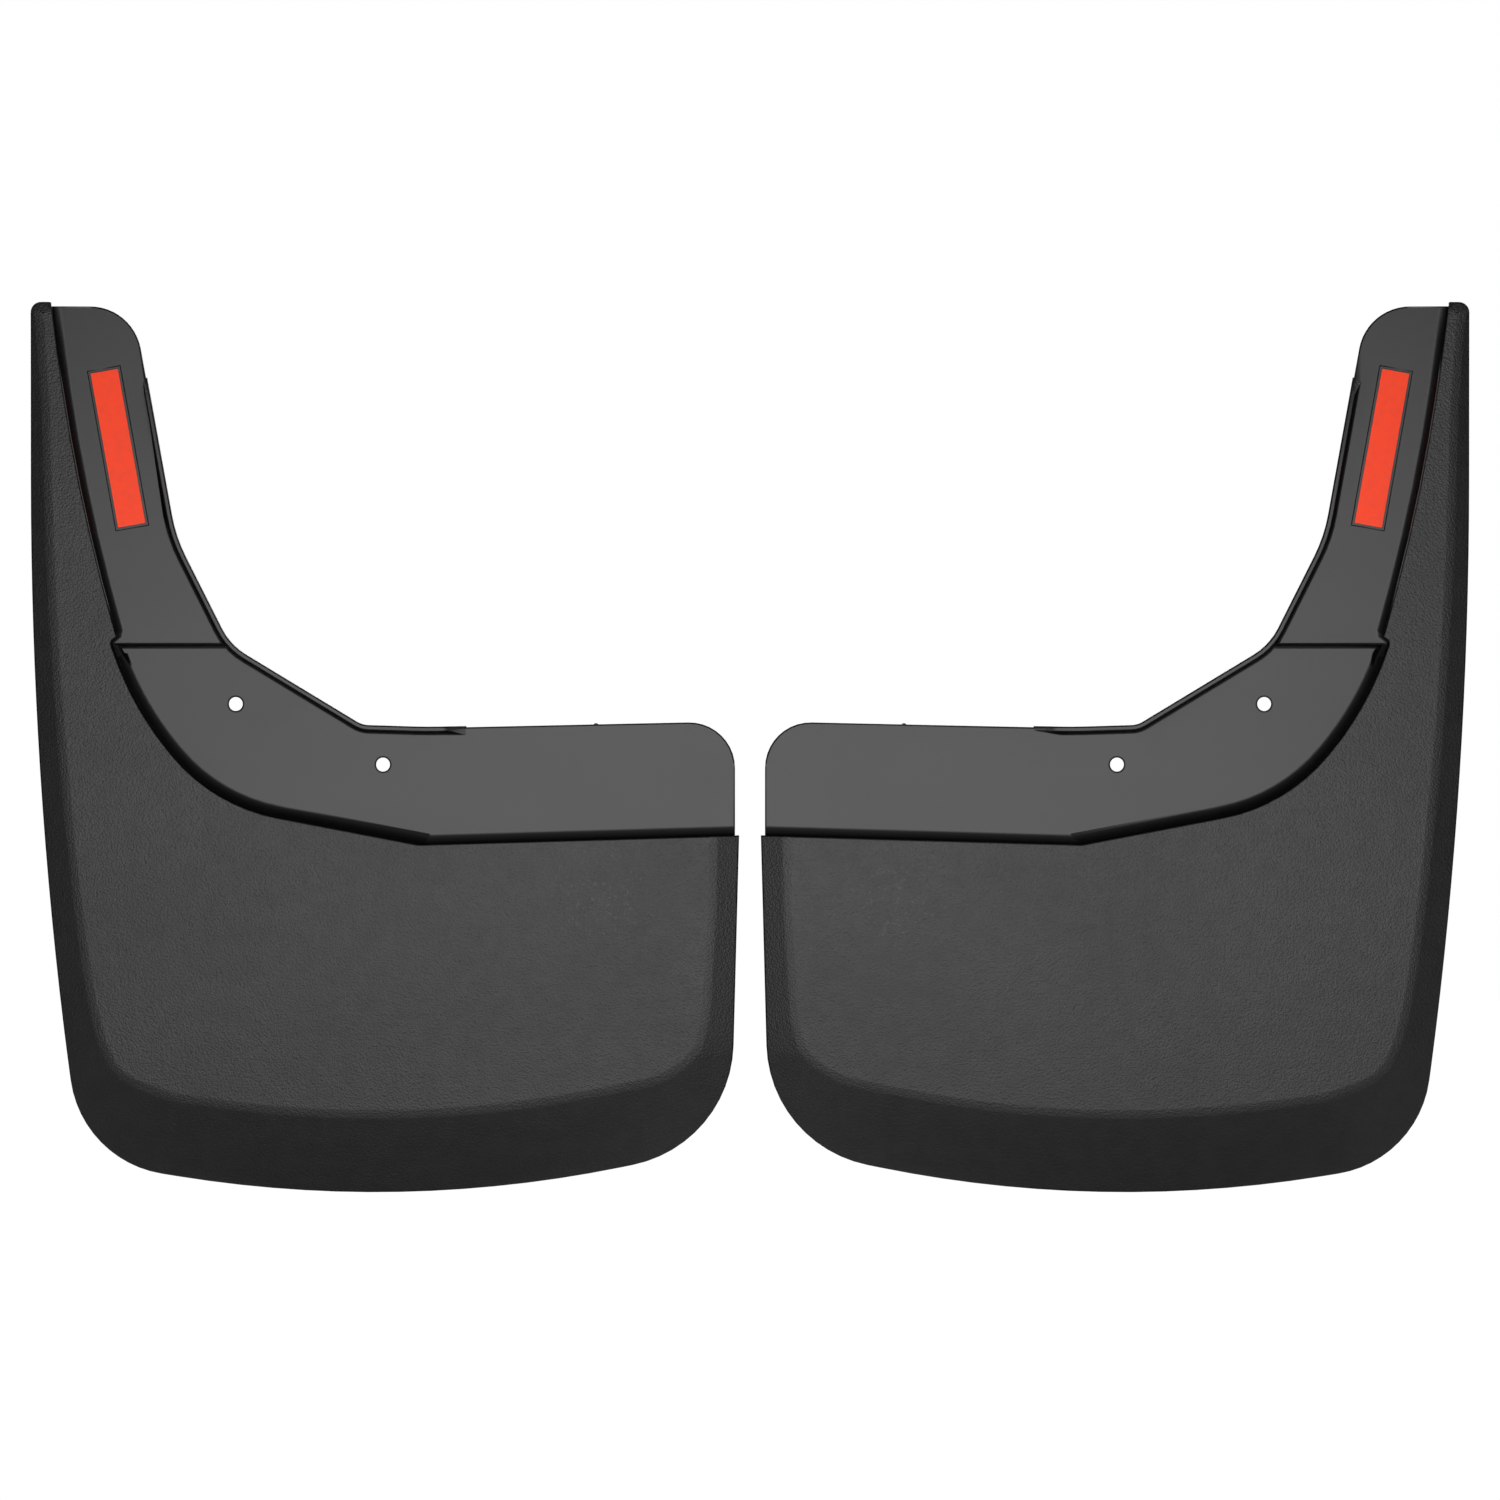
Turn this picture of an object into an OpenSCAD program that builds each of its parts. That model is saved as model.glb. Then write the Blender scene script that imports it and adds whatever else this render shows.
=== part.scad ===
// A pair of moulded mud guards for the two sides of a pickup truck.
// Each guard is one thin-walled moulding: a raised fascia with a bevelled skirt on its outer, lower and inner
// sides, and a smooth flange, sunk below the fascia in two levels, that is fastened to the wheel arch.
// A strip of double-sided foam tape with its release liner lies in a shallow recess near the flange's top.
//
// A guard is drawn in plan first: x runs from its outer side (0) to its inner side (guard_w) and z from its
// lowest point (0) to its top (guard_h). Depth runs from the fascia's front face (0) to the skirt's rim.

/* [Guard] */
// Width of one guard
guard_w = 326; // [271:1:392]
// Height of one guard
guard_h = 410; // [341:1:492]
// Depth from the fascia's front face to the skirt's rim
guard_depth = 18; // [15:0.5:22]
// Wall thickness of the moulding
wall = 3; // [2.5:0.1:3.6]
// Space between the two guards
pair_gap = 10; // [4:1:60]

/* [Fascia and skirt] */
// Radius of the sweep of the lower edge
belly_r = 568; // [473:1:682]
// Radius of the outer lower corner
outer_corner_r = 50; // [41:1:60]
// Radius of the inner lower corner
inner_corner_r = 58; // [48:1:70]
// Width of the bevel on the outer side at its top
outer_bevel_w = 5.8; // [4.8:0.1:7]
// Width of the bevel on the outer side where the lower corner begins
outer_bevel_low_w = 14.5; // [12:0.5:17.5]
// Height of the bevel on the lower edge
lower_bevel_h = 36; // [30:1:43]
// Width of the bevel on the inner side
inner_bevel_w = 11.5; // [9.5:0.5:14]
// Slope of the bevel from the fascia's plane, in degrees
bevel_slope = 22; // [18:1:24]

/* [Flange] */
// Depth of the upper flange's face below the fascia
upper_flange_depth = 5; // [4:0.25:6]
// Depth of the lower flange's face below the fascia
lower_flange_depth = 8; // [6.5:0.25:9.75]
// Width across the stem at its top
stem_w = 47; // [39:1:57]
// Radius of the stem's top corner
stem_corner_r = 23.5; // [19:0.5:28.5]
// Height of the outer tip above the flange's top edge
tip_rise = 2; // [1:0.1:2.6]
// Height of the lower flange where it meets the inner side
shelf_h = 52; // [43:1:63]
// Radius of the lower flange's inner corner
shelf_corner_r = 21; // [17:1:26]

/* [Edge rib] */
// Width of the rib along the flange's inner edge
rib_w = 2.6; // [2.2:0.1:3.1]
// How far the rib stands out past the flange's edge
rib_proud = 0.6; // [0.4:0.1:0.8]
// Depth of the rib's top below the fascia
rib_top_depth = 2; // [1.5:0.25:3]
// Length of the ramp at each end of the rib
rib_ramp = 8; // [6:0.5:10]

/* [Screw holes] */
// Diameter of the screw holes
hole_d = 6.4; // [5.3:0.1:7.7]

/* [Tape] */
// Width of the foam tape
tape_w = 12.7; // [10.5:0.1:15.3]
// Length of the foam tape
tape_len = 72; // [60:1:87]
// Thickness of the foam tape
tape_t = 1.1; // [0.9:0.05:1.4]
// Thickness of the release liner
liner_t = 0.15; // [0.12:0.01:0.2]
// Clear space round the tape in its recess
tape_margin = 1.3; // [1:0.1:1.6]
// Depth of the tape's recess
recess_depth = 0.6; // [0.4:0.05:0.8]

/* [Hidden] */

guard_color = [0.17, 0.17, 0.175];
tape_color = [0.30, 0.30, 0.31];
liner_color = [0.93, 0.22, 0.12];

over = 1;            // how far a cut runs past what it cuts
bore_fn = 48;

// Heights that hang from the top
flange_top_z = guard_h - tip_rise;
step_z = guard_h - 157.6;             // where the upper flange steps down to the lower one
shelf_z = guard_h - 193.5;            // the lower flange's free upper edge
crest_end_z = shelf_z - shelf_h;      // where the fascia's crest meets the inner side

// The skirt's outline: outer side, lower edge and inner side
tip_w = 8.9;
tip_corner_r = 4.8;
side_break = [0, guard_h - 217];
side_lean = 7.3;
side_r = 2110;
belly_x = guard_w / 2 - 4.8;
belly_outer_slope = 9.2;
belly_inner_slope = 11.5;
inner_lean = 1.5;
skirt_end = [guard_w, crest_end_z];
tip_bevel_w = 2.6;
side_swell = 3.6;                     // how much wider the bevel grows at the foot of the outer side
corner_swell = 8.2;                   // where the outer corner begins
inner_swell = 3.3;                    // where the inner corner ends
inner_break = 0.56;                   // where the inner side's bevel reaches its width, as a share of its height
shoulder = [0, guard_h - 15];
tip_chords = 6;
side_chords = 16;
corner_chords = 12;
belly_chords = 14;

// The crest, where the fascia steps down to the flange
stem_crest_bend = [20.2, guard_h - 86.3];
stem_crest_top_lean = 7;
stem_crest_low_lean = 16;
nub_rise = 3.5;                       // from the step up to where the crest turns out round the nub
nub = [36.6, step_z + 1.2];
nub_r = 2.3;
sweep_one = [48, guard_h - 188];
sweep_one_r = 150;
sweep_two = [84.6, guard_h - 231.7];
sweep_two_r = 85;
sweep_end = [178.3, crest_end_z - 4.2];
sweep_end_r = 7;

// The flange's free edge
stem_top = [stem_w, flange_top_z];
stem_bend = stem_top + [19.1, -106.1];
stem_bend_r = 72;
knee = stem_top + [44.3, -156.2];
knee_r = 30;
brow = [knee[0] + 61.1, shelf_z - 1.7];
brow_r = 12;
dip = [brow[0] + 30, shelf_z - 2.6];
dip_r = 200;
flange_inset = 1.9;
shelf_corner = [guard_w - flange_inset, shelf_z + 0.5];

// The rib follows the free edge between these two places
rib_start_drop = 33.3;                // from the flange's top, along the stem
rib_end_run = 18;                     // from the dip, along the shelf

// Screw holes and the tape's middle
stem_hole = [94.2, guard_h - 185];
shelf_hole = [162, guard_h - 212.9];
tape_middle = [40.1, guard_h - 67.3];
tape_lean = 10.15;
recess_floor = upper_flange_depth + recess_depth;

// ---- Lines and rounded paths, as [x, z] ----

function unit(v) = v / norm(v);
function heading(angle) = [cos(angle), sin(angle)];
function left_of(v) = [-v[1], v[0]];
function cross2(u, v) = u[0] * v[1] - u[1] * v[0];

// Where the line through p at angle a meets the line through q at angle b
function meet(p, a, q, b) =
    p + heading(a) * cross2(q - p, heading(b)) / cross2(heading(a), heading(b));

// Turn from direction u to direction v, positive to the left
function turn(u, v) = (cross2(u, v) < 0 ? -1 : 1) * acos(max(-1, min(1, u * v)));

// A corner of a path: its place, its radius and the number of chords in its arc
function corner(p, r, chords) = [p, r, chords];

function run_into(path, i) = path[i][0] - path[i - 1][0];
function bend_at(path, i) = turn(unit(run_into(path, i)), unit(run_into(path, i + 1)));

// The straight that corner i's arc takes up on each side of it
function reach_at(path, i) =
    i == 0 || i == len(path) - 1 ? 0 : path[i][1] * tan(abs(bend_at(path, i)) / 2);

// How much of that fits on the straight that leads to corner i, with some straight left between two arcs
function fit_into(path, i) =
    0.97 * norm(run_into(path, i)) / max(0.001, reach_at(path, i - 1) + reach_at(path, i));

// The points of corner i; its radius shrinks if its arc would not fit
function arc(path, i) =
    let (
        fit = min(1, fit_into(path, i), fit_into(path, i + 1)),
        into = unit(run_into(path, i)),
        bend = bend_at(path, i),
        spoke = (bend > 0 ? 1 : -1) * left_of(into) * path[i][1] * fit,
        centre = path[i][0] - into * reach_at(path, i) * fit + spoke,
        chords = path[i][2]
    )
    chords == 0 ? [path[i][0]] : [
        for (k = [0 : chords])
            let (angle = bend * k / chords)
            centre - spoke * cos(angle) - left_of(spoke) * sin(angle)
    ];

// The points of an open path of corners
function rounded(path) =
    let (last = len(path) - 1)
    [path[0][0], for (i = [1 : last - 1]) each arc(path, i), path[last][0]];

// Mitred step to the left of travel at point i of a path
function step_left(path, i) =
    let (
        last = len(path) - 1,
        ahead = left_of(unit(path[min(i + 1, last)] - path[min(i, last - 1)])),
        behind = left_of(unit(path[max(i, 1)] - path[max(i - 1, 0)]))
    )
    (ahead + behind) / (1 + ahead * behind);

function shifted(path, distance) =
    [for (i = [0 : len(path) - 1]) path[i] + distance * step_left(path, i)];

function reversed(list) = [for (i = [len(list) - 1 : -1 : 0]) list[i]];

// ---- Outlines ----

// From the tip down the outer side, along the lower edge and up the inner side
belly_outer = [belly_x, 0] + belly_r * [-sin(belly_outer_slope), 1 - cos(belly_outer_slope)];
belly_inner = [belly_x, 0] + belly_r * [sin(belly_inner_slope), 1 - cos(belly_inner_slope)];
skirt = rounded([
    corner([tip_w, guard_h], 0, 0),
    corner([0, guard_h], tip_corner_r, tip_chords),
    corner(shoulder, 0, 0),
    corner(side_break, side_r, side_chords),
    corner(meet(side_break, -90 + side_lean, belly_outer, -belly_outer_slope), outer_corner_r, corner_chords),
    corner(meet(belly_outer, -belly_outer_slope, belly_inner, belly_inner_slope), belly_r, belly_chords),
    corner(meet(belly_inner, belly_inner_slope, skirt_end, 90 - inner_lean), inner_corner_r, corner_chords),
    corner(meet([0, skirt_end[1] * inner_break], 0, skirt_end, 90 - inner_lean), 0, 0),
    corner(skirt_end, 0, 0)
]);

function between(a, b, share) = a + (b - a) * share;
function drop_share(p) = (guard_h - p[1]) / (guard_h - belly_outer[1] - outer_corner_r);

// The bevel's width at each point of the skirt: it widens down the outer side and round the lower corners
side_start = tip_chords + 3;
bevel_widths = [
    for (k = [-1 : tip_chords]) tip_bevel_w,
    outer_bevel_w,
    for (k = [0 : side_chords])
        between(outer_bevel_w, outer_bevel_low_w, drop_share(skirt[side_start + k]))
            + side_swell * pow(k / side_chords, 18),
    for (k = [0 : corner_chords])
        between(lower_bevel_h, outer_bevel_low_w + corner_swell, pow(1 - k / corner_chords, 3)),
    for (k = [0 : belly_chords]) lower_bevel_h,
    for (k = [0 : corner_chords])
        between(inner_bevel_w + inner_swell, lower_bevel_h, cos(90 * k / corner_chords)),
    inner_bevel_w,
    inner_bevel_w
];
// The crease where the fascia turns into the bevel
crease = [for (i = [0 : len(skirt) - 1]) skirt[i] + bevel_widths[i] * step_left(skirt, i)];

// From above the tip down beside the stem, round the nub and along the sweep to the inner side
crest = rounded([
    corner(meet([0, guard_h + over], 0, stem_crest_bend, -90 + stem_crest_top_lean), 0, 0),
    corner(stem_crest_bend, 1000, 6),
    corner(meet([0, step_z + nub_rise], 0, stem_crest_bend, -90 + stem_crest_low_lean), 0, 0),
    corner(nub, nub_r, 6),
    corner(sweep_one, sweep_one_r, 8),
    corner(sweep_two, sweep_two_r, 8),
    corner(sweep_end, sweep_end_r, 2),
    corner(skirt_end + [over, 0.1], 0, 0)
]);

// From the tip along the flange's top, down the stem and along the shelf to the inner side
free_edge = rounded([
    corner([tip_w, flange_top_z], 0, 0),
    corner(stem_top, stem_corner_r, 12),
    corner(stem_bend, stem_bend_r, 4),
    corner(knee, knee_r, 5),
    corner(brow, brow_r, 5),
    corner(dip, dip_r, 2),
    corner(shelf_corner, shelf_corner_r, 10),
    corner([guard_w - flange_inset, crest_end_z], 0, 0)
]);
outline = concat(skirt, reversed(free_edge));

rib_start = stem_top + unit(stem_bend - stem_top) * rib_start_drop;
rib_end = dip + unit(shelf_corner - dip) * rib_end_run;
rib_edge = rounded([
    corner(rib_start, 0, 0),
    corner(stem_bend, stem_bend_r, 4),
    corner(knee, knee_r, 5),
    corner(brow, brow_r, 5),
    corner(dip, dip_r, 2),
    corner(rib_end, 0, 0)
]);

// ---- The moulding ----

// A plate with the given plan between two depths
module plate(plan, front, back) {
    translate([0, back, 0])
        rotate([90, 0, 0])
            linear_extrude(height = back - front)
                polygon(plan);
}

// What lies in front of the bevel at one place, sunk into the wall by inset
function bevel_section(on_crease, on_rim, inset) =
    let (
        run = on_rim - on_crease,
        drop = min(norm(run) * tan(bevel_slope), guard_depth - wall),
        slope = atan2(drop, norm(run)),
        start = on_crease - unit(run) * inset * sin(slope),
        near = start - run / 4,
        far = start + run * 2,
        front = inset * cos(slope)
    )
    [
        [near[0], front - drop / 4, near[1]],
        [far[0], front + drop * 2, far[1]],
        [far[0], front - drop / 4, far[1]]
    ];

// The bevel's sections stand half way between the skirt's points, and it runs past both ends of the skirt
module bevel_cut(inset) {
    last = len(skirt) - 1;
    past_tip = [2 * tip_w, 0];
    past_end = [0, 2 * wall];
    sections = [
        bevel_section(crease[0] + past_tip, skirt[0] + past_tip, inset),
        for (i = [0 : last - 1])
            bevel_section((crease[i] + crease[i + 1]) / 2, (skirt[i] + skirt[i + 1]) / 2, inset),
        bevel_section(crease[last] + past_end, skirt[last] + past_end, inset)
    ];
    final = 3 * (len(sections) - 1);
    polyhedron(
        points = [for (s = sections) each s],
        faces = concat(
            [[0, 2, 1], [final, final + 1, final + 2]],
            [
                for (a = [0 : 3 : final - 3], j = [0 : 2])
                    let (p = a + j, q = a + (j + 1) % 3)
                    each [[p, q + 3, p + 3], [p, q, q + 3]]
            ]
        )
    );
}

// In front of the flange, everything is open down to its faces
module flange_cuts() {
    beside_crest = concat(crest, [[guard_w + over, guard_h + over]]);
    plate(beside_crest, -over, upper_flange_depth);
    intersection() {
        plate(beside_crest, -over, lower_flange_depth);
        translate([-over, -2 * over, -over])
            cube([guard_w + 3 * over, guard_depth, step_z + over]);
    }
}

// Behind the moulding's wall, everything is open out to the skirt's own wall
module hollow() {
    inner_skirt = shifted(skirt, wall);
    behind_fascia = shifted(crest, -wall);
    far_x = guard_w + over;
    far_depth = guard_depth + over;
    difference() {
        intersection() {
            plate(
                concat(inner_skirt, [[far_x, crest_end_z], [far_x, guard_h + over], [tip_w, guard_h + over]]),
                wall, far_depth
            );
            union() {
                plate(concat(behind_fascia, [[far_x, -over], [-over, -over], [-over, guard_h + over]]),
                    wall, far_depth + over);
                translate([-over, upper_flange_depth + wall, step_z + wall])
                    cube([far_x + 2 * over, guard_depth, guard_h]);
                translate([-over, lower_flange_depth + wall, -over])
                    cube([far_x + 2 * over, guard_depth, guard_h + 3 * over]);
            }
        }
        bevel_cut(wall);
    }
}

// In front of a ramp that climbs from just under the flange's face, at place p, to the rib's top
module ramp_cut(p, angle, flange_depth) {
    translate([p[0], 0, p[1]])
        rotate([0, -angle, 0])
            linear_extrude(height = 6 * rib_w, center = true)
                polygon([
                    [-over, -over],
                    [-over, flange_depth + over],
                    [rib_ramp, rib_top_depth],
                    [rib_ramp, -over]
                ]);
}

module edge_rib() {
    stem_run = rib_edge[1] - rib_edge[0];
    last = len(rib_edge) - 1;
    shelf_run = rib_edge[last - 1] - rib_edge[last];
    difference() {
        plate(concat(shifted(rib_edge, rib_proud), reversed(shifted(rib_edge, rib_proud - rib_w))),
            rib_top_depth, guard_depth);
        ramp_cut(rib_start, atan2(stem_run[1], stem_run[0]), upper_flange_depth);
        ramp_cut(rib_end, atan2(shelf_run[1], shelf_run[0]), lower_flange_depth);
    }
}

module screw_hole(middle) {
    translate([middle[0], lower_flange_depth + wall + over, middle[1]])
        rotate([90, 0, 0])
            cylinder(h = wall + 2 * over, d = hole_d, $fn = bore_fn);
}

// A block on the tape's line, from one depth to another
module tape_block(width, length, front, back) {
    translate([tape_middle[0], (front + back) / 2, tape_middle[1]])
        rotate([0, -tape_lean, 0])
            cube([width, back - front, length], center = true);
}

module guard() {
    color(guard_color)
        difference() {
            union() {
                difference() {
                    plate(outline, 0, guard_depth);
                    bevel_cut(0);
                    flange_cuts();
                }
                edge_rib();
            }
            hollow();
            screw_hole(stem_hole);
            screw_hole(shelf_hole);
            tape_block(tape_w + 2 * tape_margin, tape_len + 2 * tape_margin, 0, recess_floor);
        }
}

module foam_tape() {
    color(tape_color)
        tape_block(tape_w, tape_len, recess_floor - tape_t, recess_floor);
}

module release_liner() {
    color(liner_color)
        tape_block(tape_w, tape_len, recess_floor - tape_t - liner_t, recess_floor - tape_t);
}

// ---- The pair ----

// Puts what is drawn in plan on the left, with the middle of the pair at the origin
module on_left() {
    translate([-guard_w - pair_gap / 2, -guard_depth / 2, -guard_h / 2])
        children();
}

module on_right() {
    mirror([1, 0, 0])
        on_left()
            children();
}

module left_guard() { on_left() guard(); }
module left_foam_tape() { on_left() foam_tape(); }
module left_release_liner() { on_left() release_liner(); }
module right_guard() { on_right() guard(); }
module right_foam_tape() { on_right() foam_tape(); }
module right_release_liner() { on_right() release_liner(); }

left_guard();
left_foam_tape();
left_release_liner();
right_guard();
right_foam_tape();
right_release_liner();
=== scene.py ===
"""A pair of moulded mud guards for a pickup truck, with foam tapes and release liners, on a pale stage."""

from math import cos, radians, sin

import bmesh
import bpy
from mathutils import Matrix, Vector


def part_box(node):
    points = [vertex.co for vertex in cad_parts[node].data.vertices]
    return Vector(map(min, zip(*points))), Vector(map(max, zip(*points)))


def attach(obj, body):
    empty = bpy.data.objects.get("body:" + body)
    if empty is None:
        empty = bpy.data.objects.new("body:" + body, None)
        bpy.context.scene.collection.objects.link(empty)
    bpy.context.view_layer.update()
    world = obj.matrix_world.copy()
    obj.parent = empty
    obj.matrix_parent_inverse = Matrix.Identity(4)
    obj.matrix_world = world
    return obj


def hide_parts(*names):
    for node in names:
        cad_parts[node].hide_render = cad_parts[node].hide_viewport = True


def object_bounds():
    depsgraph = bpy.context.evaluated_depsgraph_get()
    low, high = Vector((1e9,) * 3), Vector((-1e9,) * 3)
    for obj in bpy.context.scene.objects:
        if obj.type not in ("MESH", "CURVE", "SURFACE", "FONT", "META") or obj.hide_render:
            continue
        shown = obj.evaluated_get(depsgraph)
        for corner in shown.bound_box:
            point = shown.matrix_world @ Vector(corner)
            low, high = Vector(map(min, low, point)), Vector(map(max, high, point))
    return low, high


bl_info = {
    "name": "Mud Guard Pair",
    "version": (1, 0, 0),
    "blender": (4, 5, 0),
    "location": "3D View > Sidebar > Mud Guards",
    "description": "Finishes a pair of moulded mud guards, their tapes and their stage",
    "category": "Object",
}

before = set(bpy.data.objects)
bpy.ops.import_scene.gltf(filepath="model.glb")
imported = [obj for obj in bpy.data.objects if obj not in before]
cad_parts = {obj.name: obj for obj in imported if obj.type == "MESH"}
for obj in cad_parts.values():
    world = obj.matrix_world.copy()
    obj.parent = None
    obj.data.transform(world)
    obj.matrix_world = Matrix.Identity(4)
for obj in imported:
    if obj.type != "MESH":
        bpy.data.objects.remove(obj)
CAD_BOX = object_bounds()
SIDES = ("left", "right")

# Read from the frame: the fascia's face, the skirt's rim, and the boxes of the tapes and liners
FASCIA_Y = CAD_BOX[0][1]
RIM_Y = CAD_BOX[1][1]
FOAM_BOX = {side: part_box(f"{side}_foam_tape") for side in SIDES}
LINER_BOX = {side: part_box(f"{side}_release_liner") for side in SIDES}

# Depths behind the fascia's face, and the wall's thickness
UPPER_FLANGE_DEPTH = 0.005
LOWER_FLANGE_DEPTH = 0.008
RECESS_DEPTH = 0.0056
WALL = 0.003

# The nub, where the crest turns round the flanges' step, and how a fillet tapers towards it
NUB = Vector((0.2944, 0, 0.0486))
NUB_RADIUS = 0.0016
NUB_REACH = 0.003
NUB_TAPER = 0.7
SHELF_FOOT = 0.0451  # the lower edge of the fillet below the step between the flanges

# Where the sweep runs straight, out from the pair's middle, and how much tighter its fillet is there
STRAIGHT_END = 0.19
STRAIGHT_RUN = 0.04
STRAIGHT_LOSS = 0.2
RECESS_ROUND = 0.00025

# How square to the front a face is: level, facing front, or a bevel; and how upright a wall is
LEVEL = 0.99999
FRONT = 0.9995
BEVEL = 0.7
UPRIGHT = 0.02
SAME_LEVEL = 0.00001
BROAD_AREA = 0.0001
SOFT_EDGE = radians(12)  # an edge that turns less than this stays as it is

SCUFF_PLACE = (0.068, 0.009, 0.068)  # on both fascias, each coordinate without its sign
SCUFF_COLOR = (0.09, 0.09, 0.088)
MARKED_COLOR = (1.0, 0.2, 0.12)  # the liner where it has been handled

# The gate's stub on the lower flange's free edge: outward, behind the flange's face, and up
GATE_PLACE = (0.0709, 0.0015, 0.0098)
GATE_SIZE = 0.0014
GATE_ROUND = 0.0003
PIN_HEIGHT = 0.0003
PIN_ROUND = 0.0001

# Places of the pin marks on one guard's back: outward from the pair's middle, and up
PIN_PLACES = (
    (0.045, -0.065), (0.045, -0.13), (0.12, -0.075), (0.12, -0.145), (0.2, -0.075),
    (0.2, -0.15), (0.27, -0.04), (0.27, -0.12), (0.3, 0.03), (0.312, 0.1),
)


# ---- Settings ----


class GuardSettings(bpy.types.PropertyGroup):
    """Sizes and colours of the two mouldings"""

    stem_fillet: bpy.props.FloatProperty(
        name="Stem Fillet", description="Radius at the foot of the step beside the stem",
        default=0.0042, min=0.001, max=0.0046, unit="LENGTH",
    )
    sweep_fillet: bpy.props.FloatProperty(
        name="Sweep Fillet", description="Radius at the foot of the long step above the fascia",
        default=0.006, min=0.001, max=0.0072, unit="LENGTH",
    )
    shelf_fillet: bpy.props.FloatProperty(
        name="Shelf Fillet", description="Radius at the foot of the step between the two flanges",
        default=0.0023, min=0.0005, max=0.0024, unit="LENGTH",
    )
    rib_fillet: bpy.props.FloatProperty(
        name="Rib Fillet", description="Radius at the foot of the rib",
        default=0.0016, min=0.0003, max=0.002, unit="LENGTH",
    )
    crease_reach: bpy.props.FloatProperty(
        name="Crease Reach", description="How far the fascia's soft crease reaches to each side",
        default=0.0026, min=0.0005, max=0.004, unit="LENGTH",
    )
    edge_round: bpy.props.FloatProperty(
        name="Edge Round", description="Radius on the moulding's outer edges",
        default=0.0008, min=0.0001, max=0.001, unit="LENGTH",
    )
    pin_radius: bpy.props.FloatProperty(
        name="Pin Mark Radius", description="Radius of the round marks that the mould's pins leave on the back",
        default=0.0035, min=0.001, max=0.006, unit="LENGTH",
    )
    plastic_color: bpy.props.FloatVectorProperty(
        name="Plastic Colour", description="Colour of the black plastic",
        subtype="COLOR", size=3, default=(0.0105, 0.0105, 0.0106), min=0, max=1,
    )
    grain_size: bpy.props.FloatProperty(
        name="Grain Size", description="Width of one pebble of the fascia's grain",
        default=0.0009, min=0.0003, max=0.003, unit="LENGTH",
    )
    grain_height: bpy.props.FloatProperty(
        name="Grain Height", description="Height of the fascia's grain",
        default=0.00022, min=0.0, max=0.0006, unit="LENGTH",
    )


class TapeSettings(bpy.types.PropertyGroup):
    """Sizes and colours of the foam tapes and release liners"""

    width: bpy.props.FloatProperty(
        name="Width", description="Width of the tape", default=0.0127, min=0.005, max=0.03, unit="LENGTH",
    )
    length: bpy.props.FloatProperty(
        name="Length", description="Length of the tape", default=0.072, min=0.02, max=0.2, unit="LENGTH",
    )
    lean: bpy.props.FloatProperty(
        name="Lean", description="How far the tape's top leans outward",
        default=radians(10.15), min=0, max=radians(30), subtype="ANGLE",
    )
    foam_color: bpy.props.FloatVectorProperty(
        name="Foam Colour", description="Colour of the foam",
        subtype="COLOR", size=3, default=(0.05, 0.05, 0.052), min=0, max=1,
    )
    liner_color: bpy.props.FloatVectorProperty(
        name="Liner Colour", description="Colour of the release liner",
        subtype="COLOR", size=3, default=(1.0, 0.05, 0.006), min=0, max=1,
    )


class StageSettings(bpy.types.PropertyGroup):
    """The stage's light and camera"""

    floor_color: bpy.props.FloatVectorProperty(
        name="Floor Colour", description="Colour of the floor",
        subtype="COLOR", size=3, default=(0.85, 0.85, 0.85), min=0, max=1,
    )
    softbox_power: bpy.props.FloatProperty(
        name="Softbox Power", description="Power of the large light in front",
        default=6.9, min=0, unit="POWER",
    )
    camera_distance: bpy.props.FloatProperty(
        name="Camera Distance", description="From the camera to the pair",
        default=8.0, min=2, max=30, unit="LENGTH",
    )
    view_width: bpy.props.FloatProperty(
        name="View Width", description="Width of the view at the pair",
        default=0.69, min=0.3, max=3, unit="LENGTH",
    )


# ---- Shader maths ----


class Wire:
    """A socket's output in a material; + - and * add the Math nodes."""

    def __init__(self, finish, socket):
        self.finish = finish
        self.socket = socket

    def maths(self, operation, first, second):
        return self.finish.node("ShaderNodeMath", {"operation": operation}, {0: first, 1: second})

    def __add__(self, other):
        return self.maths("ADD", self, other)

    def __sub__(self, other):
        return self.maths("SUBTRACT", self, other)

    def __rsub__(self, other):
        return self.maths("SUBTRACT", other, self)

    def __mul__(self, other):
        return self.maths("MULTIPLY", self, other)

    __radd__ = __add__
    __rmul__ = __mul__

    def between(self, low, high):
        """0 below low, 1 above high, and smooth between them."""
        return self.finish.node(
            "ShaderNodeMapRange",
            {"interpolation_type": "SMOOTHSTEP"},
            {"Value": self, "From Min": low, "From Max": high},
        )


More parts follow.
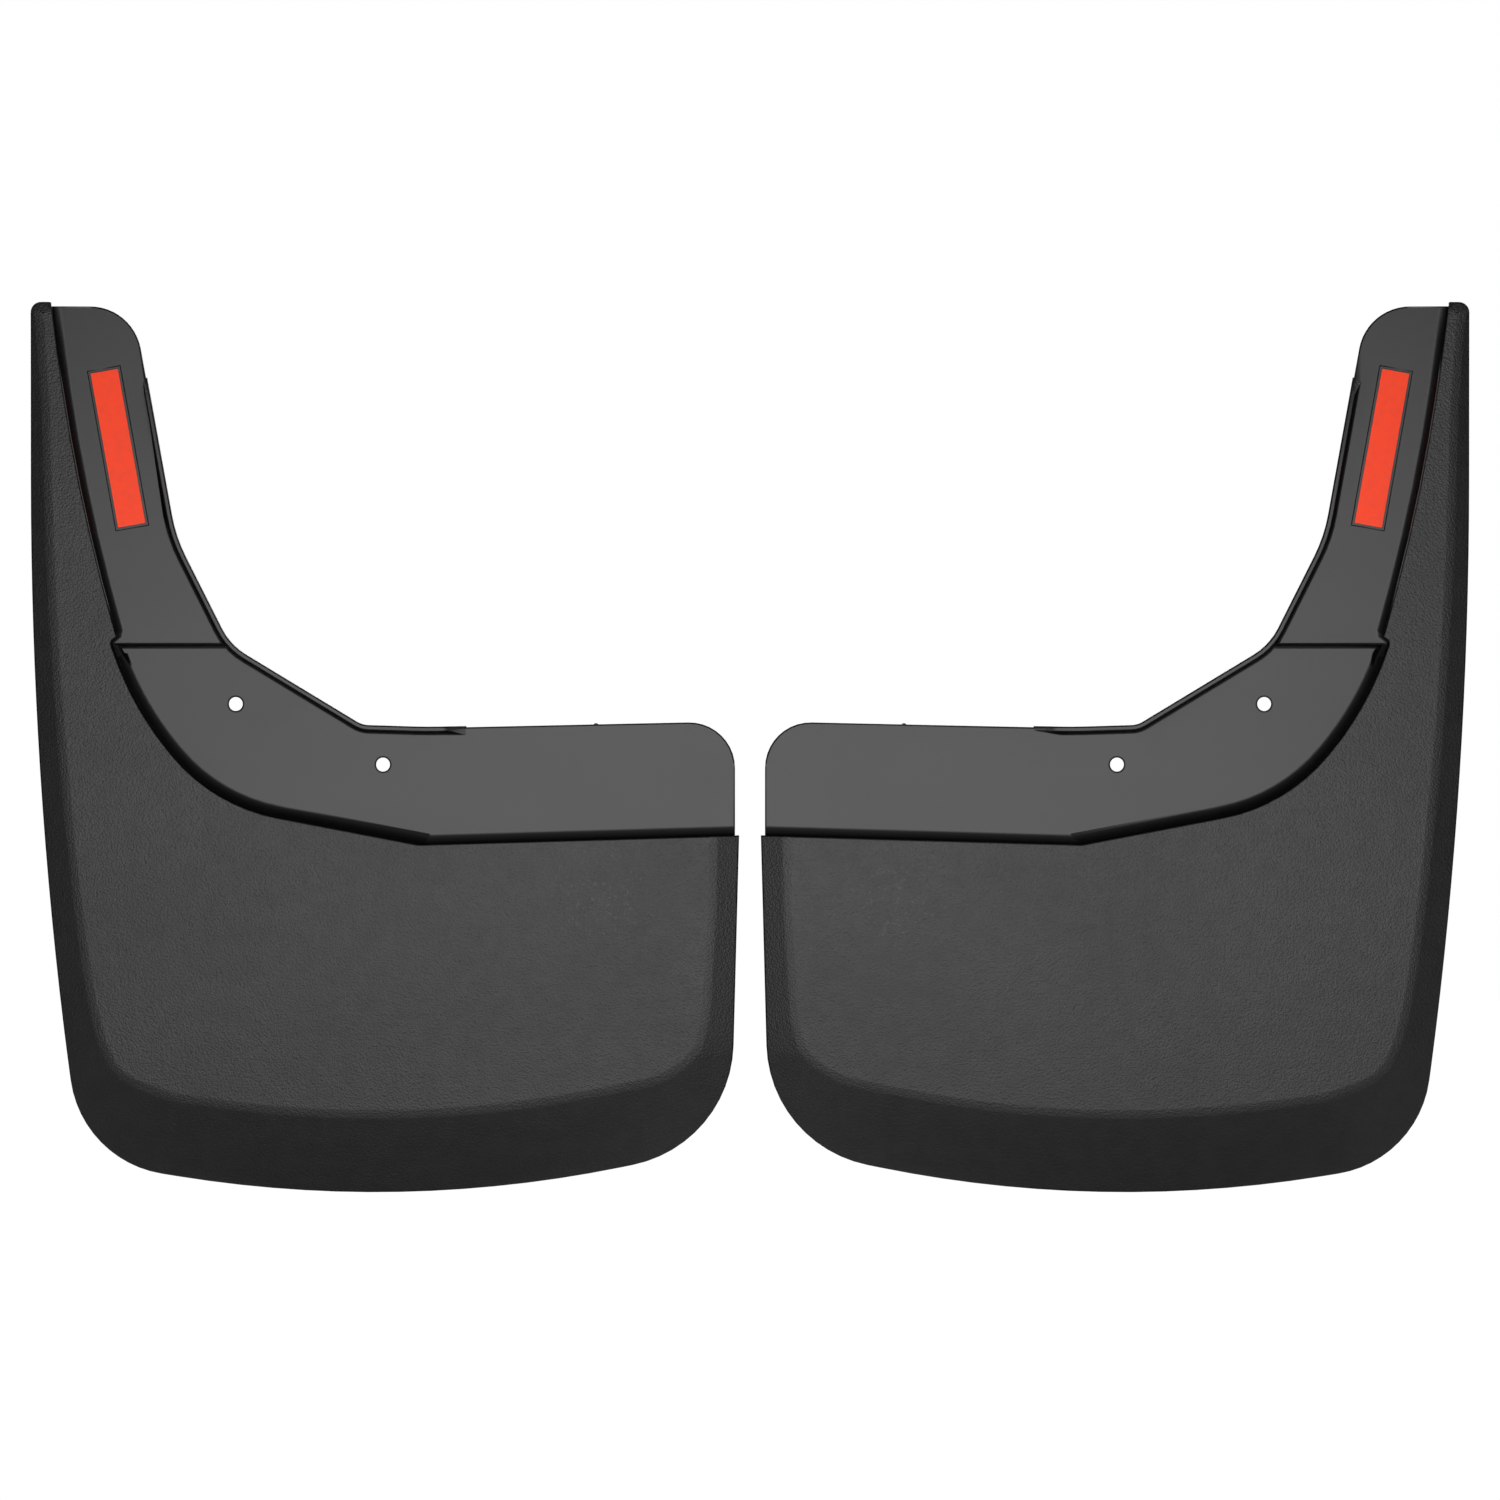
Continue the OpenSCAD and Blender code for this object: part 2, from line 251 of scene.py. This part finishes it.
class Finish:
    """One procedural material while it is made."""

    def __init__(self, name, **constants):
        self.material = bpy.data.materials.new(name)
        self.material.use_nodes = True
        self.tree = self.material.node_tree
        self.shader = self.tree.nodes["Principled BSDF"]
        self.place = self.node("ShaderNodeTexCoord", {}, {}, "Object")
        for socket, value in constants.items():
            self.shader.inputs[socket.replace("_", " ")].default_value = value

    def node(self, kind, settings, values, output=0):
        """A node of that kind: its settings are set first, then the values or wires of its sockets."""
        made = self.tree.nodes.new(kind)
        for name, value in settings.items():
            setattr(made, name, value)
        for name, value in values.items():
            if isinstance(value, Wire):
                self.tree.links.new(value.socket, made.inputs[name])
            else:
                made.inputs[name].default_value = value
        return Wire(self, made.outputs[output])

    def feed(self, socket, wire):
        self.tree.links.new(wire.socket, self.shader.inputs[socket])

    def noise(self, size, detail=2.0, roughness=0.5, stretch=(1, 1, 1), shift=(0, 0, 0)):
        """Smooth noise whose blots are about that size, stretched along an axis by a factor below 1."""
        place = self.node("ShaderNodeMapping", {}, {"Vector": self.place, "Scale": stretch, "Location": shift})
        return self.node(
            "ShaderNodeTexNoise",
            {},
            {"Vector": place, "Scale": 1 / size, "Detail": detail, "Roughness": roughness},
        )

    def pebbles(self, size):
        """Rounded pebbles of that size, high in their middles."""
        return 1 - self.node(
            "ShaderNodeTexVoronoi",
            {"feature": "SMOOTH_F1"},
            {"Vector": self.place, "Scale": 1 / size, "Smoothness": 0.4, "Randomness": 1.0},
        )

    def tint(self, color, other, share):
        """From one colour to another by a share."""
        return self.node(
            "ShaderNodeMix",
            {"data_type": "RGBA"},
            {0: share, 6: (*color, 1) if not isinstance(color, Wire) else color, 7: (*other, 1)},
            output=2,
        )

    def relief(self, height, depth):
        """Feeds a height from 0 to 1, that deep in metres, to the shader as bump."""
        self.feed("Normal", self.node("ShaderNodeBump", {}, {"Height": height, "Distance": depth}))


def scaled(color, factor):
    """The colour, lighter or darker by a factor."""
    return tuple(channel * factor for channel in color)


# ---- Finishes ----


def grained_plastic(look):
    """The fascia: black plastic with a fine pebbled grain, faint mottling and one faint scuffed patch."""
    finish = Finish("grained_plastic", Metallic=0.0, IOR=1.5, Specular_IOR_Level=0.43)
    pebble = finish.pebbles(look.grain_size)
    fine = finish.noise(look.grain_size * 0.6, 3.0)
    mottle = finish.noise(0.009, 3.0).between(0.35, 0.65)
    drift = finish.noise(0.11, 2.0, shift=(0.3, 0.1, 0.7)).between(0.3, 0.7)
    mirrored = finish.node("ShaderNodeVectorMath", {"operation": "ABSOLUTE"}, {0: finish.place})
    away = finish.node(
        "ShaderNodeVectorMath", {"operation": "DISTANCE"}, {0: mirrored, 1: SCUFF_PLACE}, "Value"
    )
    scuff = finish.noise(0.0016, 1.0, 0.4).between(0.62, 0.72) * (1 - away.between(0.012, 0.034))
    base = finish.tint(
        scaled(look.plastic_color, 0.86), scaled(look.plastic_color, 1.14), mottle * 0.5 + pebble * 0.5
    )
    finish.feed("Base Color", finish.tint(base, SCUFF_COLOR, scuff * 0.12))
    uneven = 0.4 + mottle * 0.03 + drift * 0.03 + (1 - pebble) * 0.08 + fine * 0.04
    finish.feed("Roughness", uneven - scuff * 0.05)
    finish.relief(pebble * 0.7 + fine * 0.3, look.grain_height)
    return finish.material


def satin_plastic(look):
    """The flanges and back: plastic off a smooth mould, with flow marks, rubbed places, and painted shade that
    darkens the steep walls.
    """
    finish = Finish("satin_plastic", Metallic=0.0, IOR=1.5, Specular_IOR_Level=0.43)
    flow = finish.noise(0.03, 3.0, 0.55, stretch=(0.35, 1, 1))
    haze = finish.noise(0.06, 2.0, shift=(0.4, 0.6, 0)).between(0.5, 0.72)
    fine = finish.noise(0.0005, 2.0)
    scratch = finish.noise(0.0011, 2.0, 0.6, stretch=(0.04, 1, 1)).between(0.66, 0.76)
    rubbed = finish.noise(0.04, 2.0, shift=(0, 0.2, 0.5)).between(0.55, 0.7)
    base = finish.tint(scaled(look.plastic_color, 0.92), scaled(look.plastic_color, 1.1), flow)
    greenish = tuple(c * k for c, k in zip(look.plastic_color, (0.95, 1.25, 1.1)))
    normal = finish.node("ShaderNodeNewGeometry", {}, {}, "Normal")
    facing = finish.node("ShaderNodeSeparateXYZ", {}, {0: normal}, "Y")
    # painted shade: the steep walls between the levels are darkened in the base colour to stand in for the
    # shade that falls on them, and they are made a little smoother
    steep_wall_shade_mask = 1 - (facing * facing).between(0.35, 0.96)
    painted_wall_shade_color = scaled(look.plastic_color, 0.12)
    finish.feed("Base Color", finish.tint(finish.tint(base, greenish, haze * 0.5), painted_wall_shade_color, steep_wall_shade_mask))
    back = facing.between(0.2, 0.7)
    uneven = 0.385 - steep_wall_shade_mask * 0.12 + back * 0.3 + flow * 0.03 + haze * 0.02 + fine * 0.02
    finish.feed("Roughness", uneven + scratch * rubbed * 0.05)
    finish.relief(fine * 0.4 + flow * 0.4 - scratch * rubbed * 0.2, 0.00001)
    return finish.material


def foam_rubber(tape):
    """Dark grey foam with open pores."""
    finish = Finish("foam_rubber", Metallic=0.0, IOR=1.45)
    pore = finish.pebbles(0.00035)
    clump = finish.noise(0.0012, 3.0)
    dark, light = scaled(tape.foam_color, 0.5), scaled(tape.foam_color, 1.3)
    finish.feed("Base Color", finish.tint(dark, light, pore * 0.7 + clump * 0.3))
    finish.feed("Roughness", 0.75 + clump * 0.15)
    finish.relief(pore * 0.6 + clump * 0.4, 0.00012)
    return finish.material


def liner_film(tape):
    """Red printed film: smooth, with faint ripples, a slight mottle and fine handling marks."""
    finish = Finish("liner_film", Metallic=0.0, IOR=1.46, Specular_IOR_Level=0.25)
    ripple = finish.noise(0.012, 2.0, stretch=(1, 1, 0.5))
    mottle = finish.noise(0.004, 3.0).between(0.3, 0.7)
    mark = finish.noise(0.0009, 2.0, 0.6, stretch=(0.15, 1, 1)).between(0.68, 0.78)
    base = finish.tint(scaled(tape.liner_color, 0.95), scaled(tape.liner_color, 1.04), mottle)
    finish.feed("Base Color", finish.tint(base, MARKED_COLOR, mark * 0.25))
    finish.feed("Roughness", 0.42 + mottle * 0.06 + mark * 0.1)
    finish.relief(ripple, 0.00006)
    return finish.material


# ---- Modelling ----


def only(piece):
    """Selects just that piece and makes it active."""
    bpy.ops.object.select_all(action="DESELECT")
    piece.select_set(True)
    bpy.context.view_layer.objects.active = piece


def edit(piece):
    """Opens the piece for editing with nothing selected, and gives its mesh."""
    only(piece)
    bpy.ops.object.mode_set(mode="EDIT")
    bpy.ops.mesh.select_mode(type="FACE")
    bpy.ops.mesh.select_all(action="DESELECT")
    return bmesh.from_edit_mesh(piece.data)


def close(piece):
    """Ends the editing of the piece."""
    bpy.ops.object.mode_set(mode="OBJECT")
    piece.data.update()


def finish_edges(piece, angle):
    """Smooths the rounds and keeps the broad faces flat."""
    only(piece)
    bpy.ops.object.shade_smooth_by_angle(angle=radians(angle))
    modifier = piece.modifiers.new("weighted_normals", "WEIGHTED_NORMAL")
    modifier.keep_sharp = True
    modifier.use_face_influence = True
    bpy.ops.object.modifier_apply(modifier=modifier.name)


def depth(y):
    """How far behind the fascia's face a place is."""
    return y - FASCIA_Y


def faces_front(face):
    """Whether the face looks straight to the front."""
    return face.normal.y < -FRONT


def stands(face):
    """Whether the face is an upright wall."""
    return abs(face.normal.y) < UPRIGHT


def is_bevel(face):
    """Whether the face is part of the skirt's bevel."""
    return -FRONT < face.normal.y < -BEVEL and face.calc_center_median().y < RIM_Y - 0.001


def top_depth(face):
    """The depth of the face's front edge."""
    return depth(min(v.co.y for v in face.verts))


def foot_depth(face):
    """The depth of the face's back edge."""
    return depth(max(v.co.y for v in face.verts))


def near(a, b, slack=0.0002):
    """Whether two measures agree."""
    return abs(a - b) < slack


def by_nub(radius, middle):
    """The fillet's radius, less where it runs into the nub."""
    away = (Vector((abs(middle.x), 0, middle.z)) - NUB).length
    return min(radius, NUB_RADIUS + NUB_TAPER * max(0, away - NUB_REACH))


def edge_radius(edge, look):
    """How far the round on an edge of the moulding reaches, by what the edge joins."""
    if len(edge.link_faces) != 2 or edge.calc_face_angle(0) < SOFT_EDGE:
        return 0.0
    first, second = edge.link_faces
    middle = (edge.verts[0].co + edge.verts[1].co) / 2
    here = depth(middle.y)
    walls = [f for f in (first, second) if stands(f)]
    fronts = [f for f in (first, second) if faces_front(f)]
    bevels = [f for f in (first, second) if is_bevel(f)]
    if fronts and bevels and near(here, 0):
        return look.crease_reach
    if len(walls) == 1 and fronts:
        wall = walls[0]
        if not edge.is_convex:
            if near(top_depth(wall), 0, 0.0006) and near(here, UPPER_FLANGE_DEPTH):
                return by_nub(look.stem_fillet, middle)
            if near(top_depth(wall), 0, 0.0012) and near(here, LOWER_FLANGE_DEPTH):
                straight = min(1, max(0, (STRAIGHT_END - abs(middle.x)) / STRAIGHT_RUN))
                return by_nub(look.sweep_fillet * (1 - STRAIGHT_LOSS * straight), middle)
            if near(top_depth(wall), UPPER_FLANGE_DEPTH) and near(here, LOWER_FLANGE_DEPTH):
                return by_nub(look.shelf_fillet, middle)
            if near(here, RECESS_DEPTH):
                return RECESS_ROUND
            return look.rib_fillet
        if near(here, UPPER_FLANGE_DEPTH) and near(foot_depth(wall), RECESS_DEPTH):
            return RECESS_ROUND
        return look.edge_round
    if len(walls) == 1 and bevels and edge.is_convex:
        return look.edge_round
    return 0.0


def round_block(place, radius, height, rounding):
    """A short cylinder on end, facing back, with a rounded rim."""
    bpy.ops.object.select_all(action="DESELECT")
    bpy.ops.mesh.primitive_cylinder_add(vertices=32, radius=radius, depth=height, location=(0, 0, 0))
    block = bpy.context.object
    mesh = edit(block)
    for face in mesh.faces:
        face.select = abs(face.normal.z) > 0.9
    bmesh.update_edit_mesh(block.data)
    bpy.ops.mesh.bevel(offset=rounding, segments=2)
    bpy.ops.mesh.select_all(action="SELECT")
    bpy.ops.transform.rotate(value=radians(90), orient_axis="X", center_override=(0, 0, 0))
    bpy.ops.transform.translate(value=place)
    close(block)
    return block


def stub(outward):
    """What is left of the gate that fed the mould, on the lower flange's free edge."""
    out, behind, up = GATE_PLACE
    place = (outward * out, FASCIA_Y + LOWER_FLANGE_DEPTH + behind, up)
    return round_block(place, GATE_SIZE, GATE_SIZE, GATE_ROUND)


def pin_mark(x, z, look):
    """The round mark of one of the mould's pins, on the back of the fascia."""
    return round_block((x, FASCIA_Y + WALL, z), look.pin_radius, PIN_HEIGHT, PIN_ROUND)


def refill(guard):
    """Fills each broad level face again, as one sheet that meets the rounds and goes round the holes."""
    mesh = edit(guard)
    for vertex in mesh.verts:
        vertex.co.y = max(vertex.co.y, FASCIA_Y)
    levels = {
        (round(face.calc_center_median().y, 5), face.normal.y > 0)
        for face in mesh.faces
        if abs(face.normal.y) > LEVEL and face.calc_area() > BROAD_AREA
    }
    for level, back in sorted(levels):
        mesh = bmesh.from_edit_mesh(guard.data)
        for face in mesh.faces:
            is_level = all(abs(v.co.y - level) < SAME_LEVEL for v in face.verts)
            face.select = is_level and (face.normal.y > 0) == back
        bmesh.update_edit_mesh(guard.data)
        bpy.ops.mesh.delete(type="FACE")
        mesh = bmesh.from_edit_mesh(guard.data)
        for edge in mesh.edges:
            edge.select = edge.is_boundary and all(abs(v.co.y - level) < SAME_LEVEL for v in edge.verts)
        if near(depth(level), LOWER_FLANGE_DEPTH) and not back:
            # the fillets' feet cross at the nub, so they stop at the foot of the step between the flanges
            for vertex in mesh.verts:
                if vertex.select:
                    vertex.co.z = min(vertex.co.z, SHELF_FOOT)
        bmesh.update_edit_mesh(guard.data)
        bpy.ops.mesh.fill(use_beauty=True)
        bpy.ops.mesh.mod_weighted_strength(set=True, face_strength="STRONG")
        mesh = bmesh.from_edit_mesh(guard.data)
        mesh.normal_update()
        for face in mesh.faces:
            if face.select:
                face.material_index = 0 if near(depth(level), 0) and not back else 1
                face.select = (face.normal.y > 0) != back
        bmesh.update_edit_mesh(guard.data)
        bpy.ops.mesh.flip_normals()
        bpy.ops.mesh.select_all(action="DESELECT")
    bpy.ops.mesh.select_all(action="SELECT")
    bpy.ops.mesh.normals_make_consistent(inside=False)
    close(guard)


def mould(side, look, finishes):
    """The moulding: a merged copy of the solid guard with its fillets, soft crease and rounded edges."""
    guard = bpy.data.objects.new(f"{side}_moulding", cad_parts[f"{side}_guard"].data.copy())
    bpy.context.scene.collection.objects.link(guard)
    guard.data.materials.clear()
    for finish in finishes:
        guard.data.materials.append(finish)

    edit(guard)
    bpy.ops.mesh.select_all(action="SELECT")
    bpy.ops.mesh.remove_doubles(threshold=1e-6)
    bpy.ops.mesh.dissolve_limited(angle_limit=radians(0.2))
    mesh = bmesh.from_edit_mesh(guard.data)
    mesh.normal_update()
    for face in mesh.faces:
        grained = is_bevel(face) or (faces_front(face) and near(top_depth(face), 0))
        face.material_index = 0 if grained else 1
    widest = max(look.sweep_fillet, look.stem_fillet)
    weights = mesh.edges.layers.float
    weight = weights.get("bevel_weight_edge") or weights.new("bevel_weight_edge")
    for edge in mesh.edges:
        edge[weight] = edge_radius(edge, look) / widest
    close(guard)

    only(guard)
    bevel = guard.modifiers.new("rounds", "BEVEL")
    bevel.limit_method = "WEIGHT"
    bevel.width = widest
    bevel.segments = 5
    bevel.profile = 0.36
    bevel.use_clamp_overlap = False
    bevel.loop_slide = False
    bevel.face_strength_mode = "FSTR_AFFECTED"
    bpy.ops.object.modifier_apply(modifier=bevel.name)
    refill(guard)

    outward = -1 if side == "left" else 1
    marks = [stub(outward)] + [pin_mark(outward * x, z, look) for x, z in PIN_PLACES]
    only(guard)
    for mark in marks:
        for finish in finishes:
            mark.data.materials.append(finish)
        for face in mark.data.polygons:
            face.material_index = 1
        mark.select_set(True)
    bpy.ops.object.join()
    finish_edges(guard, 40)
    return guard


class MUDGUARD_OT_mouldings(bpy.types.Operator):
    """Makes the left and right mouldings from the frame's guards"""

    bl_idname = "mudguard.mouldings"
    bl_label = "Make Mouldings"

    def execute(self, context):
        look = context.scene.guard_settings
        finishes = [grained_plastic(look), satin_plastic(look)]
        for side in SIDES:
            guard = mould(side, look, finishes)
            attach(guard, "guards")
            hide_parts(f"{side}_guard")
        return {"FINISHED"}


ADHESIVE = 0.0001  # the thickness of each adhesive layer
SINK_INSET = 0.00004
SINK_DEPTH = -0.00018
LINER_CORNER = 0.0004


def sink_core(piece, level):
    """Marks the adhesive's two layers off with a cut at each level and sinks the foam's edge between them."""
    for y in (level, -level):
        bpy.ops.mesh.select_all(action="SELECT")
        bpy.ops.mesh.bisect(plane_co=(0, y, 0), plane_no=(0, 1, 0))
    mesh = bmesh.from_edit_mesh(piece.data)
    for face in mesh.faces:
        face.select = abs(face.normal.y) < 0.5 and abs(face.calc_center_median().y) < level
    bmesh.update_edit_mesh(piece.data)
    bpy.ops.mesh.inset(thickness=SINK_INSET, depth=SINK_DEPTH)


def strip(name, box, tape, side, core=False):
    """A flat block of the tape's width and length that fills the box's depth, leaning with the tape."""
    middle = (box[0] + box[1]) / 2
    bpy.ops.object.select_all(action="DESELECT")
    bpy.ops.mesh.primitive_cube_add(size=1, location=(0, 0, 0))
    piece = bpy.context.object
    piece.name = name
    mesh = edit(piece)
    bpy.ops.mesh.select_all(action="SELECT")
    bpy.ops.transform.resize(value=(tape.width, box[1].y - box[0].y, tape.length))
    if core:
        sink_core(piece, (box[1].y - box[0].y) / 2 - ADHESIVE)
    else:
        for edge in mesh.edges:
            edge.select = abs((edge.verts[0].co - edge.verts[1].co).y) > SAME_LEVEL
        bmesh.update_edit_mesh(piece.data)
        bpy.ops.mesh.bevel(offset=LINER_CORNER, segments=4)
    close(piece)
    lean = tape.lean if side == "left" else -tape.lean
    for vertex in piece.data.vertices:
        x, y, z = vertex.co
        vertex.co = middle + Vector((x * cos(lean) - z * sin(lean), y, x * sin(lean) + z * cos(lean)))
    return piece


class MUDGUARD_OT_foam_tapes(bpy.types.Operator):
    """Makes the two strips of foam tape"""

    bl_idname = "mudguard.foam_tapes"
    bl_label = "Make Foam Tapes"

    def execute(self, context):
        tape = context.scene.tape_settings
        finish = foam_rubber(tape)
        for side in SIDES:
            foam = strip(f"{side}_foam", FOAM_BOX[side], tape, side, core=True)
            foam.data.materials.append(finish)
            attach(foam, "guards")
            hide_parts(f"{side}_foam_tape")
        return {"FINISHED"}


class MUDGUARD_OT_release_liners(bpy.types.Operator):
    """Makes the two red release liners"""

    bl_idname = "mudguard.release_liners"
    bl_label = "Make Release Liners"

    def execute(self, context):
        tape = context.scene.tape_settings
        finish = liner_film(tape)
        for side in SIDES:
            liner = strip(f"{side}_liner_film", LINER_BOX[side], tape, side)
            liner.data.materials.append(finish)
            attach(liner, f"{side}_liner")
            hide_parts(f"{side}_release_liner")
        return {"FINISHED"}


# ---- Stage ----

FLOOR_SIZE = 12
FLOOR_GAP = 0.0002
FLOOR_GLOW = 1.03  # what the camera sees of the floor, just past white
STUDIO_LIGHT = 0.05  # the world's light on the object
SOFTBOX_PLACE = (0, -0.75, -0.04)
SOFTBOX_SIZE = (0.9, 0.52)
FILL_PLACE = (0.4, 1.6, 0.9)
FILL_SIZE = (1.4, 1.0)
FILL_SHARE = 3  # the light behind, as a multiple of the softbox's power
SENSOR = 36
CAMERA_Z = -0.0012
FARTHEST = 100


def add_light(name, place, target, power, size):
    """A soft rectangular light that the camera doesn't see."""
    bpy.ops.object.light_add(type="AREA", location=place)
    light = bpy.context.object
    light.name = name
    light.data.shape = "RECTANGLE"
    light.data.size, light.data.size_y = size
    light.data.energy = power
    light.visible_camera = False
    light.rotation_euler = (Vector(target) - Vector(place)).to_track_quat("-Z", "Y").to_euler()


class MUDGUARD_OT_stage(bpy.types.Operator):
    """Sets up the pale floor, the soft light and the camera"""

    bl_idname = "mudguard.stage"
    bl_label = "Set Up Stage"

    def execute(self, context):
        scene = context.scene
        stage = scene.stage_settings
        scene.view_settings.view_transform = "Standard"

        bpy.ops.object.select_all(action="DESELECT")
        bpy.ops.mesh.primitive_plane_add(size=FLOOR_SIZE, location=(0, 0, CAD_BOX[0][2] - FLOOR_GAP))
        floor = context.object
        floor.name = "floor"
        finish = Finish("pale_floor", Roughness=0.9, Base_Color=(*stage.floor_color, 1))
        away = finish.node("ShaderNodeVectorMath", {"operation": "LENGTH"}, {0: finish.place}, "Value")
        seen = finish.node("ShaderNodeLightPath", {}, {}, "Is Camera Ray")
        glow = finish.node("ShaderNodeEmission", {}, {"Strength": FLOOR_GLOW})
        share = seen * (0.985 + away.between(0.3, 1.0) * 0.015)
        plain = Wire(finish, finish.shader.outputs[0])
        lit = finish.node("ShaderNodeMixShader", {}, {0: share, 1: plain, 2: glow})
        finish.tree.links.new(lit.socket, finish.tree.nodes["Material Output"].inputs["Surface"])
        floor.data.materials.append(finish.material)

        world = bpy.data.worlds.new("studio")
        scene.world = world
        world.use_nodes = True
        tree = world.node_tree
        strength = tree.nodes.new("ShaderNodeMapRange")
        strength.inputs["To Min"].default_value = STUDIO_LIGHT
        strength.inputs["To Max"].default_value = 1.0
        seen = tree.nodes.new("ShaderNodeLightPath").outputs["Is Camera Ray"]
        tree.links.new(seen, strength.inputs["Value"])
        background = tree.nodes["Background"]
        background.inputs["Color"].default_value = (1, 1, 1, 1)
        tree.links.new(strength.outputs[0], background.inputs["Strength"])

        add_light("softbox", SOFTBOX_PLACE, (0, 0, SOFTBOX_PLACE[2]), stage.softbox_power, SOFTBOX_SIZE)
        add_light("back_fill", FILL_PLACE, (0, 0, 0), stage.softbox_power * FILL_SHARE, FILL_SIZE)

        place = (0, -stage.camera_distance, CAMERA_Z)
        bpy.ops.object.camera_add(location=place, rotation=(radians(90), 0, 0))
        camera = context.object
        camera.data.sensor_width = SENSOR
        camera.data.lens = SENSOR * (stage.camera_distance + FASCIA_Y) / stage.view_width
        camera.data.clip_end = FARTHEST
        scene.camera = camera
        return {"FINISHED"}


class MUDGUARD_PT_panel(bpy.types.Panel):
    """Lists the steps in order"""

    bl_idname = "MUDGUARD_PT_panel"
    bl_label = "Mud Guards"
    bl_space_type = "VIEW_3D"
    bl_region_type = "UI"
    bl_category = "Mud Guards"

    def draw(self, context):
        for step in STEPS:
            self.layout.operator(step.bl_idname)


SETTINGS = {"guard_settings": GuardSettings, "tape_settings": TapeSettings, "stage_settings": StageSettings}
STEPS = (MUDGUARD_OT_mouldings, MUDGUARD_OT_foam_tapes, MUDGUARD_OT_release_liners, MUDGUARD_OT_stage)


def register():
    for kind in (*SETTINGS.values(), *STEPS, MUDGUARD_PT_panel):
        bpy.utils.register_class(kind)
    for name, kind in SETTINGS.items():
        setattr(bpy.types.Scene, name, bpy.props.PointerProperty(type=kind))


def unregister():
    for name in SETTINGS:
        delattr(bpy.types.Scene, name)
    for kind in reversed((*SETTINGS.values(), *STEPS, MUDGUARD_PT_panel)):
        bpy.utils.unregister_class(kind)


def main():
    register()
    bpy.ops.mudguard.mouldings()
    bpy.ops.mudguard.foam_tapes()
    bpy.ops.mudguard.release_liners()
    bpy.ops.mudguard.stage()


if __name__ == "__main__":
    main()
